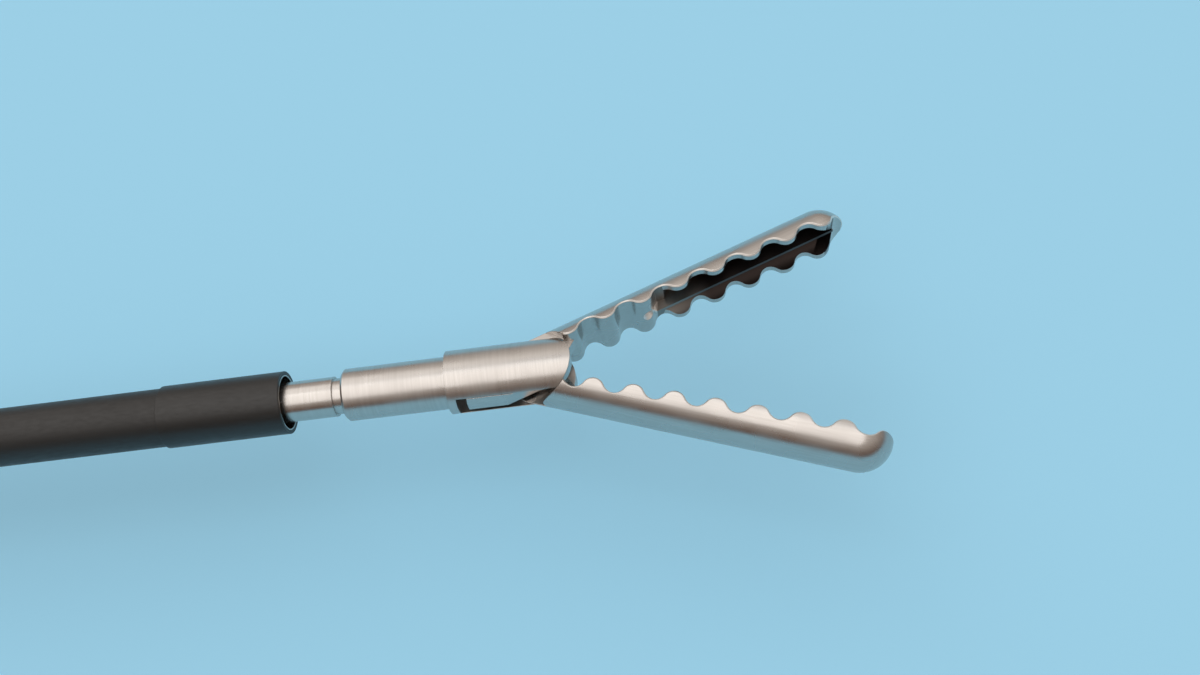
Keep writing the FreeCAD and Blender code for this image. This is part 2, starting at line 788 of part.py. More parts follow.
def makeHandleBody():
    """Body and grip with its finger ring, hollowed and split down the middle."""
    whole = newBody("handle_whole")
    front = -bodyFront
    rear = -dim.bodyRear
    corner = dim.bodyCorner
    bottom = -dim.bodyBottom
    ringHalf = dim.ringHoleWidth / 2
    ringLeft = -dim.ringMiddle - ringHalf - dim.ringWall
    ringRight = -dim.ringMiddle + ringHalf + dim.ringWall
    ringLow = -dim.ringTop - dim.ringHoleHeight - dim.ringWall
    grip = plate(whole, "grip", [
        (-dim.cavityFront - 6, -dim.bodyWall * 2.5),
        (ringLeft + 4, -dim.ringTop + 8),
        (ringLeft, -dim.ringTop - 6),
        (ringLeft, ringLow),
        (ringRight, ringLow),
        (ringRight, -dim.ringTop - 2),
        (ringRight - 9, -dim.ringTop + 9),
        (front - 4, -dim.bodyWall * 2.5)], -dim.gripHalf, dim.gripHalf)
    low = ringLow + dim.ringWall

    def isRingCorner(edge):
        return isUpright(edge) and edge.BoundBox.YMax < float(low) + 0.1

    def isGripCorner(edge):
        y = edge.BoundBox.YMax
        return isUpright(edge) and float(low) + 0.1 < y < float(bottom) - 2
    doc.recompute()
    softer = roundEdges(whole, "ring_corners", grip, ringHalf + dim.ringWall - 2, isRingCorner)
    softer = roundEdges(whole, "grip_corners", softer, dim.bodyCorner * 0.8, isGripCorner)

    def isGripRim(edge):
        return liesAt(edge, dim.gripHalf) or liesAt(edge, -dim.gripHalf)
    roundEdges(whole, "grip_rims", softer, dim.gripRound, isGripRim, "Chamfer")
    body = plate(whole, "body", [
        (front, -dim.noseRadius - 1.5),
        (front, dim.noseRadius + 1.5),
        (front - 5, dim.bodyTop),
        (rear + corner, dim.bodyTop),
        (rear, dim.bodyTop - corner),
        (rear, bottom + corner + 1),
        (rear + corner, bottom),
        (-dim.cavityFront + 2, bottom),
        (front, -dim.noseRadius - 1.5)][:-1], -dim.bodyHalf, dim.bodyHalf)

    def isBodyRim(edge):
        return liesAt(edge, dim.bodyHalf) or liesAt(edge, -dim.bodyHalf)

    def isBodyCorner(edge):
        return isUpright(edge) and edge.BoundBox.ZMax > float(dim.bodyHalf) - 0.1
    softer = roundEdges(whole, "body_corners", body, dim.bodyRound * 1.5, isBodyCorner)
    roundEdges(whole, "body_rims", softer, dim.bodyRound, isBodyRim, "Chamfer")
    # Finger ring's hole, straight between two half circles, with its rim rounded over
    depth = dim.gripHalf + 1
    upper = -dim.ringTop - ringHalf
    lower = low + ringHalf
    plate(whole, "ring_hole", [
        (-dim.ringMiddle - ringHalf, lower),
        (-dim.ringMiddle + ringHalf, lower),
        (-dim.ringMiddle + ringHalf, upper),
        (-dim.ringMiddle - ringHalf, upper)], -depth, depth, "Pocket")
    discs(whole, "ring_hole_top", [(-dim.ringMiddle, upper, ringHalf)], -depth, depth, "Pocket")
    ring = discs(whole, "ring_hole_foot", [(-dim.ringMiddle, lower, ringHalf)], -depth, depth, "Pocket")

    def isHoleRim(edge):
        box = edge.BoundBox
        if not (liesAt(edge, dim.gripHalf) or liesAt(edge, -dim.gripHalf)):
            return False
        across = abs(box.Center.x + sizes["ringMiddle"]) < float(ringHalf) + 0.1
        narrow = box.XLength < sizes["ringHoleWidth"] + 0.1
        return across and narrow and float(low) - 0.1 < box.Center.y < -sizes["ringTop"] + 0.1
    roundEdges(whole, "hole_rims", ring, dim.gripRound * 0.5, isHoleRim, "Chamfer")
    # Cavity for the mechanism, and the slot that the lever swings in
    depth = dim.bodyHalf - dim.sideWall
    wall = dim.bodyWall
    plate(whole, "cavity", [
        (-dim.cavityFront, bottom + wall + 1),
        (-dim.cavityFront, dim.bodyTop - wall),
        (rear + corner + 1, dim.bodyTop - wall),
        (rear + wall, dim.bodyTop - corner - 1),
        (rear + wall, bottom + corner + 3),
        (rear + corner + 2, bottom + wall + 1)], -depth, depth, "Pocket")
    play = dim.leverHalf + 0.4
    plate(whole, "lever_slot", [
        (leverX - 14.5, bottom - 1),
        (leverX - 12, bottom + wall + 2),
        (leverX + 8, bottom + wall + 2),
        (leverX + 8, bottom - 1)], -play, play, "Pocket")
    # Cheeks that hold the lever's pin
    for name, near, far in (("cheek_near", play, dim.bodyHalf - 0.5), ("cheek_far", -dim.bodyHalf + 0.5, -play)):
        discs(whole, name, [(leverX, leverY, dim.leverHub - 0.5)], near, far)
    discs(whole, "lever_pin_hole", [(leverX, leverY, dim.leverPinRadius)],
          -dim.bodyHalf + 1.2, dim.bodyHalf + 1, "Pocket")
    # Way for the ratchet's rack, curved about the lever's pivot, and room for the pawl
    swept = sizes["rackTip"] - sizes["leverAngle"] - 8.5
    channel = rackSector(dim.rackInner - 0.6, rackOuter + 0.7, swept, sizes["rackTip"] + 10.5, dim.rackHalf + 0.4)
    nest = slab([(float(x), float(y)) for x, y in pawlNest()], -float(pawlHalf) - 0.4, float(pawlHalf) + 0.4)
    pawlPinEnd = dim.gripHalf - 1
    tools = [
        shaped("rack_channel", channel, leverX, leverY),
        shaped("pawl_nest", nest),
        rod("pawl_pin_hole", dim.pawlPinRadius, pawlPinEnd * 2, pawlX, pawlY, -pawlPinEnd),
        rod("bush_seat", dim.noseRadius - 1, bushRear * -1 - bodyFront + 2, bushRear - 1, 0, 0, along),
        rod("bush_rib_seat", dim.noseRadius + 1, 2, bushRear + 4, 0, 0, along),
        rod("thrust_room", dim.thrustRadius + dim.freeGap, dim.bodyWall + 1, -dim.cavityFront - 1, 0, 0, along),
        block("leaf_room", (-dim.cavityFront - 1, 0, -leafHalf - dim.freeGap),
              (bushRear, hfFoot + dim.freeGap, leafHalf + dim.freeGap)),
        rod("pawl_spring_room", dim.pawlPinRadius * 2, dim.gripHalf - pawlHalf - 1.2, pawlX, pawlY, pawlHalf),
        rod("hf_hole", dim.hfRadius, dim.bodyTop, hfX, hfFoot, 0, upwards),
        rod("hf_flange_seat", dim.hfRadius + 1.2, dim.bodyTop, hfX, dim.bodyTop - 1, 0, upwards),
        rod("port_hole", dim.portRadius - 0.5, dim.bodyTop, portX, portFoot, 0, upwards),
        rod("button_well", dim.buttonRadius + 0.1, dim.bodyTop, buttonX, buttonFloor, 0, upwards),
        rod("plunger_way", plungerRadius + 0.1, dim.bodyTop, buttonX, 0, 0, upwards),
    ]
    for name, x, y, top in screwPlaces():
        tools.append(rod(f"{name}_hole", dim.screwRadius, top * 2, x, y, -top + 1.2))
        tools.append(rod(f"{name}_well", dim.screwHead, top, x, y, top - 1.4))
    hollowed = cutFrom("handle_hollowed", whole, joined("handle_tools", *tools))
    reach = dim.bodyRear + dim.bodyTop
    left = block("left_half", (rear - 1, ringLow - 1, 0), (0, reach, dim.bodyHalf + 1))
    right = block("right_half", (rear - 1, ringLow - 1, -dim.bodyHalf - 1), (0, reach, 0))
    parts["housing_left"] = commonOf("housing_left", hollowed, left)
    parts["housing_right"] = commonOf("housing_right", hollowed, right)


ballNeck = dim.rodRadius + 0.5
hfX = -dim.hfBack
hfFoot = dim.bodyTop - dim.bodyWall - 3
portX = -dim.portBack
portFoot = dim.bodyTop - dim.bodyWall - 2
buttonX = -dim.buttonBack
buttonFloor = dim.noseRadius + 0.6
leafHalf = asSize(1.5)
pawlHalf = asSize(2.0)
pawlX = leverX + rackOuter * math.cos(math.radians(sizes["pawlAngle"])) + dim.pawlArm + 0.6
pawlY = leverY - rackOuter * math.sin(math.radians(sizes["pawlAngle"])) - 2.2


def screwPlaces():
    """Name, place and half length of each screw through the two halves."""
    low = -dim.ringTop - dim.ringHoleHeight - dim.ringWall / 2
    return [
        ("screw_front", -dim.cavityFront + 4.5, -dim.noseRadius - 3.6, dim.bodyHalf),
        ("screw_top", (hfX + portX) / 2, dim.bodyTop - dim.bodyWall / 2, dim.bodyHalf),
        ("screw_rear", -dim.bodyRear + dim.bodyWall / 2 + 0.2, -2, dim.bodyHalf),
        ("screw_ring", -dim.ringMiddle, low, dim.gripHalf),
    ]


def makeScrews():
    for name, x, y, top in screwPlaces():
        shank = rod(f"{name}_shank", dim.screwRadius, top * 2 - 2, x, y, -top + 1.2)
        head = rod(f"{name}_head", dim.screwHead - 0.05, 1.2, x, y, top - 1.4)
        wide = dim.screwHead * 2
        slot = block(f"{name}_slot", (x - wide, y - 0.3, top - 0.7), (x + wide, y + 0.3, top + 1))
        parts[name] = cutFrom(name, joined(f"{name}_solid", shank, head), slot)


def rackSector(inner, outer, first, last, half):
    """Part of a ring about the lever's pivot, between two angles below the shaft."""
    ring = Part.makeCylinder(float(outer), 2 * float(half), Vector(0, 0, -float(half)))
    ring = ring.cut(Part.makeCylinder(float(inner), 4 * float(half), Vector(0, 0, -2 * float(half))))
    far = 3 * float(outer)
    fan = [(0.0, 0.0)]
    for angle in (first, (first + last) / 2, last):
        fan.append((far * math.cos(math.radians(angle)), -far * math.sin(math.radians(angle))))
    return ring.common(slab(fan, -2 * float(half), 2 * float(half)))


def pawlNest():
    """Outline of the room that the pawl swings in, open to the front."""
    return [
        (pawlX - dim.pawlArm - 3.2, pawlY - 3.6),
        (pawlX + 2, pawlY - 3.6),
        (pawlX + 16, pawlY - 1),
        (pawlX + 16, pawlY + 14),
        (pawlX + 2, pawlY + 5.5),
        (pawlX - dim.pawlArm - 3.2, pawlY + 3.4)]


def makeRatchet():
    """Toothed rack on the lever, and the pawl whose trigger sits before the grip."""
    inner = sizes["rackInner"]
    outer = inner + sizes["rackDepth"]
    half = sizes["rackHalf"]
    rack = rackSector(inner, outer, sizes["rackTip"], sizes["rackRoot"], half)
    pitch = sizes["rackPitch"]
    tooth = sizes["rackTooth"]
    flank = math.radians(pitch * 0.5)
    teeth = int(sizes["leverAngle"] / pitch) + 2
    for i in range(teeth):
        angle = math.radians(-sizes["pawlAngle"] - i * pitch)
        notch = []
        for turn, reach in ((-flank, outer + 0.05), (0.0, outer - tooth), (flank, outer + 0.05)):
            notch.append((reach * math.cos(angle + turn), reach * math.sin(angle + turn)))
        notch.append(((outer + 1) * math.cos(angle), (outer + 1) * math.sin(angle)))
        rack = rack.cut(slab(notch, -2 * half, 2 * half))
    parts["ratchet_rack"] = shaped("ratchet_rack", rack.Solids[0], leverX, leverY)
    # Pawl, drawn about its own pin with its tooth in the rack, then swung clear
    angle = math.radians(sizes["pawlAngle"])
    out = Vector(math.cos(angle), -math.sin(angle), 0)
    side = Vector(-out.y, out.x, 0)
    offset = Vector(float(leverX - pawlX), float(leverY - pawlY), 0)
    tip = offset + out * (outer - tooth + 0.12)
    rootA = tip + out * 1.6 + side * 0.8
    rootB = tip + out * 1.6 - side * 0.8
    reach = float(pawlHalf)
    collar = sizes["pawlPinRadius"] + 1.3
    arm = [
        (tip.x, tip.y),
        (rootA.x, rootA.y),
        (0.0, collar),
        (5.0, collar + 0.2),
        (12.0, 7.6),
        (14.2, 6.6),
        (12.0, 1.0),
        (6.0, -1.6),
        (0.0, -collar),
        (rootB.x - 0.9, rootB.y - 1.4),
        (rootB.x, rootB.y)]
    pawl = slab(arm, -reach, reach)
    # Trigger: a hollow-fronted paddle for the forefinger
    middle = Vector(17.2, 11.0, -reach - 1.5)
    paddle = bar(8.6, middle, 2 * reach + 3, Vector(0, 0, 1))
    inside = bar(7.0, middle - Vector(0, 0, 1), 2 * reach + 5, Vector(0, 0, 1))
    corner = Vector(10.6, 0.6, -1.5 * reach - 1.5)
    crescent = paddle.cut(inside).common(Part.makeBox(12, 12.2, 3 * reach + 3, corner))
    pawl = pawl.cut(inside).fuse(crescent).removeSplitter()
    hole = sizes["pawlPinRadius"] + sizes["runningGap"]
    pawl = pawl.cut(Part.makeCylinder(hole, 4 * reach, Vector(0, 0, -2 * reach)))
    parts["ratchet_pawl"] = shaped("ratchet_pawl", pawl.Solids[0], pawlX, pawlY, sizes["pawlSwing"])
    end = dim.gripHalf - 1
    parts["pawl_pin"] = rod("pawl_pin", dim.pawlPinRadius, end * 2, pawlX, pawlY, -end)


def makeLever():
    """Thumb lever: a fork that holds the rod's ball, a hub, a shank and the thumb ring."""
    lever = newBody("thumb_lever")
    prongGap = dim.ballRadius + dim.forkGap
    prong = prongGap + 2.1
    prongTop = dim.ballRadius + 1.2
    forkFloor = -dim.ballRadius - 0.9
    low = -dim.leverHalf
    high = dim.leverHalf
    thumbX = -dim.thumbBack
    thumbY = -dim.thumbDrop
    rim = dim.thumbHole + dim.thumbWall
    shank = plate(lever, "shank", [
        (leverX - prong, prongTop),
        (leverX - prong, leverY - 1),
        (leverX - 5.8, leverY - 6),
        (leverX - dim.kneeBack, leverY - dim.kneeDrop),
        (thumbX + 2, thumbY + rim + 4),
        (thumbX - 4, thumbY + rim - 3),
        (thumbX + 10, thumbY + rim - 4),
        (thumbX + 13, thumbY + rim + 2),
        (leverX - dim.kneeBack + 9, leverY - dim.kneeDrop),
        (leverX + 4.6, leverY - 6),
        (leverX + prong, leverY - 1),
        (leverX + prong, prongTop)], low, high)
    discs(lever, "hub", [(leverX, leverY, dim.leverHub)], low, high)
    ring = discs(lever, "thumb_ring", [(thumbX, thumbY, rim)], -dim.thumbHalf, dim.thumbHalf)
    hole = discs(lever, "thumb_hole", [(thumbX, thumbY, dim.thumbHole)],
                 -dim.thumbHalf - 1, dim.thumbHalf + 1, "Pocket")

    def isThumbRim(edge):
        return liesAt(edge, dim.thumbHalf) or liesAt(edge, -dim.thumbHalf)
    roundEdges(lever, "thumb_rims", hole, (dim.thumbHalf - dim.leverHalf) * 0.9, isThumbRim, "Chamfer")
    plate(lever, "fork_slot", [
        (leverX - prongGap, forkFloor),
        (leverX + prongGap, forkFloor),
        (leverX + prongGap, prongTop + 1),
        (leverX - prongGap, prongTop + 1)], low - 1, high + 1, "Pocket")
    # The rod's neck passes through the front prong
    neck = ballNeck + dim.freeGap
    plate(lever, "neck_slot", [
        (leverX, -neck - 1.4),
        (leverX + prong + 1, -neck - 1.4),
        (leverX + prong + 1, prongTop + 1),
        (leverX, prongTop + 1)], -neck, neck, "Pocket")
    discs(lever, "pivot_hole", [(leverX, leverY, dim.leverPinRadius + dim.runningGap)],
          low - 1, high + 1, "Pocket")
    # The rack's root sits in a slot of the shank
    root = rackSector(dim.rackInner, rackOuter, sizes["rackTip"], sizes["rackRoot"], dim.rackHalf)
    slot = shaped("rack_seat", root, leverX, leverY)
    parts["thumb_lever"] = cutFrom("thumb_lever_cut", lever, slot)
    parts["lever_pin"] = rod("lever_pin", dim.leverPinRadius, dim.bodyHalf * 2 - 1.6,
                             leverX, leverY, -dim.bodyHalf + 1.2)


def spring(name, radius, wire, height, turns, x, y, z, direction):
    """A small spring, pressed together so that its windings lie on each other as ridges."""
    step = height / turns
    points = [Vector(radius - wire, 0, 0)]
    for i in range(turns):
        points += [Vector(radius, 0, i * step), Vector(radius + wire, 0, (i + 0.5) * step)]
    points += [Vector(radius, 0, height), Vector(radius - wire, 0, height)]
    section = Part.Face(Part.makePolygon(points + points[:1]))
    item = doc.addObject("Part::Feature", name)
    item.Label = name
    item.Shape = section.revolve(Vector(0, 0, 0), Vector(0, 0, 1), 360)
    item.Placement = Placement(Vector(float(x), float(y), float(z)), Rotation(Vector(0, 0, 1), direction))
    move(item, x, y, z)
    parts[name] = item


def makeTopFittings():
    """Current pin and its leaf, flush port with its cap, and the tube's release button."""
    top = dim.bodyTop
    pin = rod("hf_shank", dim.hfRadius, top + dim.hfLength - hfFoot - 1, hfX, hfFoot, 0, upwards)
    dome = rod("hf_tip", dim.hfRadius - 0.6, 1, hfX, top + dim.hfLength - 1, 0, upwards)
    flange = rod("hf_flange", dim.hfRadius + 1.2, 1, hfX, top - 1, 0, upwards)
    parts["hf_pin"] = joined("hf_pin", pin, dome, flange)
    leafTop = hfFoot
    leaf = block("contact_leaf", (hfX - 2, leafTop - 0.3, -leafHalf), (bushRear - 0.4, leafTop, leafHalf))
    parts["contact_leaf"] = leaf
    # Luer port: a root in the body, a collar and a rim with two lugs
    root = rod("port_root", dim.portRadius - 0.5, top - portFoot, portX, portFoot, 0, upwards)
    stand = rod("port_stand", dim.portRadius, dim.portHeight, portX, top, 0, upwards)
    rim = rod("port_rim", dim.portRadius + 0.9, 1.2, portX, top + dim.portHeight - 1.2, 0, upwards)
    foot = rod("port_foot", dim.portRadius + 1.2, 1.4, portX, top, 0, upwards)
    bore = rod("port_bore", dim.portBore, dim.portHeight + 1, portX, top + 1, 0, upwards)
    drain = rod("port_drain", 0.9, top + 2, portX, portFoot - 1, 0, upwards)
    parts["flush_port"] = cutFrom("flush_port", joined("port_solid", root, stand, rim, foot),
                                  joined("port_ways", bore, drain))
    # Cap on a strap that clips round the port
    strapLow = top + 3
    capY = top + dim.portHeight + 0.1
    hingeX = portX - dim.portRadius - 3.4
    hingeY = capY + 0.3
    band = rod("strap_band", dim.portRadius + 0.9, 1.6, portX, strapLow, 0, upwards)
    hole = rod("strap_hole", dim.portRadius, 4, portX, strapLow - 1, 0, upwards)
    arm = block("strap_arm", (hingeX - 0.6, strapLow, -1.1), (portX - dim.portRadius + 0.2, strapLow + 1.6, 1.1))
    post = block("strap_post", (hingeX - 0.6, strapLow, -1.1), (hingeX + 0.6, hingeY, 1.1))
    barrel = rod("strap_barrel", 1.1, 2.2, hingeX, hingeY, -1.1)
    eye = rod("strap_eye", 0.5, 8, hingeX, hingeY, -4)
    parts["cap_strap"] = cutFrom("cap_strap", joined("strap_solid", band, arm, post, barrel),
                                 joined("strap_holes", hole, eye))
    disc = rod("cap_disc", dim.portRadius + 1, 1.8, portX, capY, 0, upwards)
    plug = rod("cap_plug", dim.portBore - 0.6, 1.4, portX, capY - 1.4, 0, upwards)
    lugs = []
    for side, near in ((1, 1.25), (-1, -2.45)):
        knuckle = rod(f"cap_knuckle_{side + 1}", 1.1, 1.2, hingeX, hingeY, near)
        web = block(f"cap_web_{side + 1}", (hingeX, capY + 0.2, near), (portX, capY + 1.3, near + 1.2))
        lugs += [knuckle, web]
    pinHole = rod("cap_eye", 0.55, 8, hingeX, hingeY, -4)
    cap = cutFrom("flush_cap", joined("cap_solid", disc, plug, *lugs), pinHole)
    hinge = Vector(float(hingeX), float(hingeY), 0)
    cap.Placement = Placement(Vector(0, 0, 0), Rotation(Vector(0, 0, 1), sizes["capOpen"]), hinge)
    parts["flush_cap"] = cap
    parts["cap_pin"] = rod("cap_pin", 0.5, 5.2, hingeX, hingeY, -2.6)
    # Button with its spring under the head
    headLow = buttonFloor + dim.buttonTravel + 0.6
    head = rod("button_head", dim.buttonRadius, top + dim.buttonProud - headLow, buttonX, headLow, 0, upwards)
    stem = rod("button_stem", plungerRadius, headLow - dim.journalRadius - dim.buttonTravel + 0.5,
               buttonX, dim.journalRadius + dim.buttonTravel + 0.1, 0, upwards)
    well = rod("button_hollow", 2.4, 1.7, buttonX, headLow, 0, upwards)
    core = rod("button_core", plungerRadius, 4, buttonX, headLow - 1, 0, upwards)
    parts["release_button"] = joined("release_button", cutFrom("button_cup", head, well), stem, core)
    spring("button_spring", 1.8, 0.25, 1.6, 3, buttonX, buttonFloor + 0.3, 0, upwards)
    spring("pawl_spring", 2.0, 0.2, 1.0, 2, pawlX, pawlY, pawlHalf + 0.7, Vector(0, 0, 1))


makeShaft()
makeJawHousing()
makeJaws()
makeDriveRod()
makeSpindle()
makeKnob()
makeHandleBody()
makeScrews()
makeRatchet()
makeLever()
makeTopFittings()
doc.recompute()

for item in doc.Objects:
    if "Invalid" in item.State or "Error" in item.State:
        raise RuntimeError(f"{item.Name} failed: {item.State}")
os.makedirs("parts", exist_ok=True)
for node, item in parts.items():
    item.Label = node
    shape = item.Shape
    if shape.isNull() or not shape.isValid() or not shape.Solids:
        raise RuntimeError(f"{node} has no sound solid")
    shape.exportStep(f"parts/{node}.step")
    print(f"{node:18s} {len(shape.Solids)} solid, {shape.Volume:10.3f} mm3, {len(shape.Faces)} faces")
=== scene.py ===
import math
import bpy
from mathutils import Matrix, Vector


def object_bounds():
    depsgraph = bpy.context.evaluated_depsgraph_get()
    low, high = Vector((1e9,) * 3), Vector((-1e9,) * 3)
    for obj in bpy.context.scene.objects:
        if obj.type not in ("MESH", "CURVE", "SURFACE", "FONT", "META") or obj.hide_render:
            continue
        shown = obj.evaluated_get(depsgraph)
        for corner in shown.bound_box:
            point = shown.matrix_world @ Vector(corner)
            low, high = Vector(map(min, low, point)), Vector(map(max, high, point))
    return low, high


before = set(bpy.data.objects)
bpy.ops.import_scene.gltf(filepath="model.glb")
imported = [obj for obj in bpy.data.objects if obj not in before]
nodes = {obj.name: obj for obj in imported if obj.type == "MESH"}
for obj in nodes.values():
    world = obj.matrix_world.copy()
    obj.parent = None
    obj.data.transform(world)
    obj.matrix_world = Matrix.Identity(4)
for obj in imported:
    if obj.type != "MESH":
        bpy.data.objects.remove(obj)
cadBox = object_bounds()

# Laparoscopic grasper lying on its side, jaws open, seen close up from above.
# Lengths are in metres in the CAD frame; millimetre values are turned by mm.
mm = 0.001
pivotX = 296.0      # jaw pivot along the shaft, mm


def toLinear(code):     # sRGB hex to the linear colour that a socket wants
    channels = [int(code[i:i + 2], 16) / 255 for i in (1, 3, 5)]
    linear = [c / 12.92 if c <= 0.04045 else ((c + 0.055) / 1.055) ** 2.4 for c in channels]
    return (*linear, 1.0)


def addNode(tree, kind, links=None, **settings):
    node = tree.nodes.new(kind)
    for name, value in settings.items():
        if name in node.bl_rna.properties:
            setattr(node, name, value)
        else:
            node.inputs[name.replace("_", " ")].default_value = value
    for name, source in (links or {}).items():
        tree.links.new(source, node.inputs[name])
    return node


def newMaterial(name, colour, metallic, roughness):
    material = bpy.data.materials.new(name)
    material.use_nodes = True
    tree = material.node_tree
    tree.nodes.clear()
    plain = {"Base_Color": toLinear(colour), "Metallic": metallic, "Roughness": roughness}
    surface = addNode(tree, "ShaderNodeBsdfPrincipled", **plain)
    addNode(tree, "ShaderNodeOutputMaterial", {"Surface": surface.outputs["BSDF"]})
    return material, tree, surface


def patternSpace(tree, size, turn=(0, 0, 0)):       # one unit of pattern is the given size in mm
    place = addNode(tree, "ShaderNodeTexCoord").outputs["Object"]
    angles = [math.radians(a) for a in turn]
    turned = addNode(tree, "ShaderNodeMapping", {"Vector": place}, Rotation=angles)
    scale = [1 / (s * mm) for s in size]
    sized = addNode(tree, "ShaderNodeMapping", {"Vector": turned.outputs["Vector"]}, Scale=scale)
    return sized.outputs["Vector"]


def noise(tree, size, turn=(0, 0, 0), detail=2.0):
    links = {"Vector": patternSpace(tree, size, turn)}
    pattern = addNode(tree, "ShaderNodeTexNoise", links, Scale=1.0, Detail=detail)
    return pattern.outputs["Fac"]


noiseSpan = {"From_Min": 0.3, "From_Max": 0.7}      # most of a noise pattern's values lie here


def vary(tree, surface, socket, source, low, high):     # a pattern moves a socket from low to high
    spread = addNode(tree, "ShaderNodeMapRange", {"Value": source}, **noiseSpan,
                     To_Min=low, To_Max=high)
    tree.links.new(spread.outputs["Result"], surface.inputs[socket])


def tint(tree, surface, source, dark, light):
    shade = addNode(tree, "ShaderNodeMix", {"Factor": source}, data_type="RGBA")
    shade.inputs["A"].default_value = toLinear(dark)
    shade.inputs["B"].default_value = toLinear(light)
    tree.links.new(shade.outputs["Result"], surface.inputs["Base Color"])


def relief(tree, surface, source, depth, edge):     # full height and radius of broken edges, in mm
    broken = addNode(tree, "ShaderNodeBevel", samples=4, Radius=edge * mm)
    links = {"Height": source, "Normal": broken.outputs["Normal"]}
    bump = addNode(tree, "ShaderNodeBump", links, Distance=depth * mm)
    tree.links.new(bump.outputs["Normal"], surface.inputs["Normal"])


# Stainless steel: light grey, satin, with fine lines left by the finishing wheel
steelLook = {
    "dark": "#B3AEA9",
    "light": "#CAC5C1",
    "lineWidth": 0.14,      # real lines are finer, drawn at about a pixel so that they show
    "lineLength": 3.0,
    "lineDepth": 0.0014,
    "patch": 2.6,           # duller and brighter patches, where it was handled
    "duller": 0.06,
    "brighter": 0.05,
    "edge": 0.07,           # edges are broken with a stone
}


# Lines run along the piece, or round it where it was turned on a lathe
def satinStainless(name, turn=(0, 0, 0), across=False, roughness=0.3, depth=1.0,
                   dark=steelLook["dark"], light=steelLook["light"]):
    material, tree, surface = newMaterial(name, light, 1.0, roughness)
    fine, long = steelLook["lineWidth"], steelLook["lineLength"]
    size = (fine, long, long) if across else (long, fine, fine)
    lines = noise(tree, size, turn, detail=3.0)
    patches = noise(tree, (steelLook["patch"],) * 3, turn)
    low, high = roughness - steelLook["brighter"], roughness + steelLook["duller"]
    tint(tree, surface, lines, dark, light)
    vary(tree, surface, "Roughness", patches, low, high)
    relief(tree, surface, lines, steelLook["lineDepth"] * depth, steelLook["edge"])
    return material


# Black insulation: extruded polymer, matt, with a soft sheen and a fine grain along the tube
insulationLook = {
    "colour": "#191817",
    "worn": "#211F1D",
    "wornPatch": (9.0, 2.5, 2.5),
    "grain": (0.66, 0.22, 0.22),
    "grainDepth": 0.004,
    "roughness": 0.46,
    "duller": 0.08,
    "brighter": 0.06,
    "edge": 0.08,
}


def extrudedInsulation(name, roughness):
    material, tree, surface = newMaterial(name, insulationLook["colour"], 0.0, roughness)
    grain = noise(tree, insulationLook["grain"], detail=4.0)
    patches = noise(tree, insulationLook["wornPatch"])
    low, high = roughness - insulationLook["brighter"], roughness + insulationLook["duller"]
    tint(tree, surface, patches, insulationLook["colour"], insulationLook["worn"])
    vary(tree, surface, "Roughness", grain, low, high)
    relief(tree, surface, grain, insulationLook["grainDepth"], insulationLook["edge"])
    return material


# Moulded handle plastic: PEEK, satin, with the fine even grain of a spark-eroded mould
mouldedLook = {
    "grain": 0.35,
    "grainDepth": 0.012,
    "duller": 0.07,
    "brighter": 0.05,
    "edge": 0.35,
}


def mouldedPlastic(name, colour, lighter, roughness, grainDepth=1.0):
    material, tree, surface = newMaterial(name, colour, 0.0, roughness)
    grain = noise(tree, (mouldedLook["grain"],) * 3, detail=3.0)
    low, high = roughness - mouldedLook["brighter"], roughness + mouldedLook["duller"]
    tint(tree, surface, grain, colour, lighter)
    vary(tree, surface, "Roughness", grain, low, high)
    relief(tree, surface, grain, mouldedLook["grainDepth"] * grainDepth, mouldedLook["edge"])
    return material


jawTurn = 20.5      # degrees that each jaw stands open
upperJawSteel = satinStainless("satinJawSteelUpper", (0, 0, -jawTurn), roughness=0.27)
lowerJawSteel = satinStainless("satinJawSteelLower", (0, 0, jawTurn), roughness=0.27)
housingSteel = satinStainless("satinHousingSteel", across=True, roughness=0.29)
turnedSteel = satinStainless("turnedStemSteel", across=True, roughness=0.24)
# Painted highlight: the countersink gets a pale, rough steel so that it shows as a bright spot
countersinkHighlightSteel = satinStainless("countersinkHighlightSteel", roughness=0.55,
                                  dark="#E9E5E0", light="#F4F1EE")
# Painted highlight: the bevels on the wavy rims get a pale, rough steel so that they show as bright
# lines
bevelHighlightSteel = satinStainless("stonedBevelHighlightSteel", roughness=0.5, dark="#E3DFDA", light="#F2EFEB")
drawnSteel = satinStainless("drawnRodSteel", roughness=0.22, depth=0.6)
springSteel = satinStainless("springSteel", roughness=0.2, depth=0.4)
tubeBlack = extrudedInsulation("extrudedTubeInsulation", insulationLook["roughness"])
sleeveBlack = extrudedInsulation("shrunkSleeveInsulation", insulationLook["roughness"] - 0.06)
handleBlack = mouldedPlastic("mouldedHandleBlack", "#1D1D1F", "#29292C", 0.5)
knobBlack = mouldedPlastic("mouldedKnobBlack", "#202022", "#2C2C2F", 0.46)
triggerGrey = mouldedPlastic("mouldedTriggerGrey", "#6D7074", "#7A7D81", 0.45)
bushBeige = mouldedPlastic("turnedBushPeek", "#A39A86", "#B1A893", 0.42, 0.4)
portWhite = mouldedPlastic("mouldedPortPolymer", "#D9DBDA", "#E4E6E5", 0.3, 0.3)
capBlue = mouldedPlastic("softCapSilicone", "#27528E", "#2F5D9C", 0.55, 0.6)
sealRed = mouldedPlastic("silicone", "#8A2F22", "#97392B", 0.5, 0.4)

